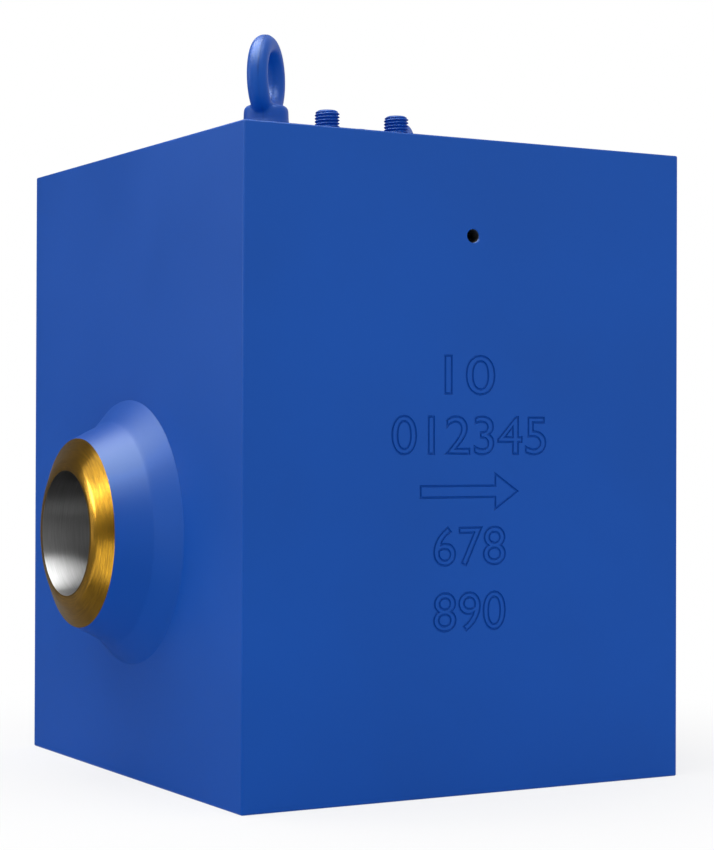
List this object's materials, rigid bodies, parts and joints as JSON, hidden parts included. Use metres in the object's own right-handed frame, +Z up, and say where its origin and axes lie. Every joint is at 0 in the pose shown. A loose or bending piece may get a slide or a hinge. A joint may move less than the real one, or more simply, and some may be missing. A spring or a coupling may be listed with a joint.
{
  "type": "non-return valve",
  "caption": "Square-block swing check valve with butt-weld ends, a pressure-seal cover, a hinged disc on a leaning seat, studs and lifting eyes.",
  "frame": {"origin": "centre of the block's underside, straight below the point where the pipe axis crosses the neck axis", "axes": "+X along the flow from inlet to outlet, +Z up along the neck, +Y across the flow towards the back"},
  "size_m": [0.3818, 0.312, 0.4366],
  "materials": {
    "blue_paint": "satin blue enamel",
    "machined_steel": "machined",
    "bare_steel": "plain",
    "forged_steel": "dark forged",
    "blackened_steel": "blackened",
    "bronze": "turned",
    "graphite": "pressed graphite"
  },
  "bodies": {
    "casing": {"body_block": "blue_paint", "seat_ring": "machined_steel", "hinge_pin": "machined_steel", "pin_circlip": "blackened_steel", "hinge_bushing_1": "bronze", "hinge_bushing_2": "bronze", "hanger_bracket": "forged_steel", "hanger_screw_1": "blackened_steel", "hanger_screw_2": "blackened_steel", "hanger_screw_3": "blackened_steel", "hanger_screw_4": "blackened_steel", "seal_cover": "forged_steel", "seal_ring": "graphite", "spacer_ring": "machined_steel", "thrust_segment_1": "machined_steel", "thrust_segment_2": "machined_steel", "thrust_segment_3": "machined_steel", "thrust_segment_4": "machined_steel", "retainer_plate": "blue_paint", "cover_stud_1": "blue_paint", "cover_stud_2": "blue_paint", "cover_stud_3": "blue_paint", "cover_stud_4": "blue_paint", "cover_washer_1": "blue_paint", "cover_washer_2": "blue_paint", "cover_washer_3": "blue_paint", "cover_washer_4": "blue_paint", "cover_nut_1": "blue_paint", "cover_nut_2": "blue_paint", "cover_nut_3": "blue_paint", "cover_nut_4": "blue_paint", "lifting_eye_front": "blue_paint", "lifting_eye_rear": "blue_paint"},
    "arm": {"hinge_arm": "forged_steel"},
    "closer": {"disc": "machined_steel", "disc_washer": "bare_steel", "disc_nut": "bare_steel", "disc_cotter_pin": "bare_steel"}
  },
  "joints": [
    {"name": "hinge_swing", "type": "hinge", "parent": "casing", "child": "arm", "pos_m": [-0.03077, 0, 0.20519], "axis": [0, -1, 0], "range_deg": [0, 70]},
    {"name": "disc_spin", "type": "hinge", "parent": "arm", "child": "closer", "pos_m": [-0.042, 0, 0.15], "axis": [0.9962, 0, 0.0872], "continuous": true}
  ]
}
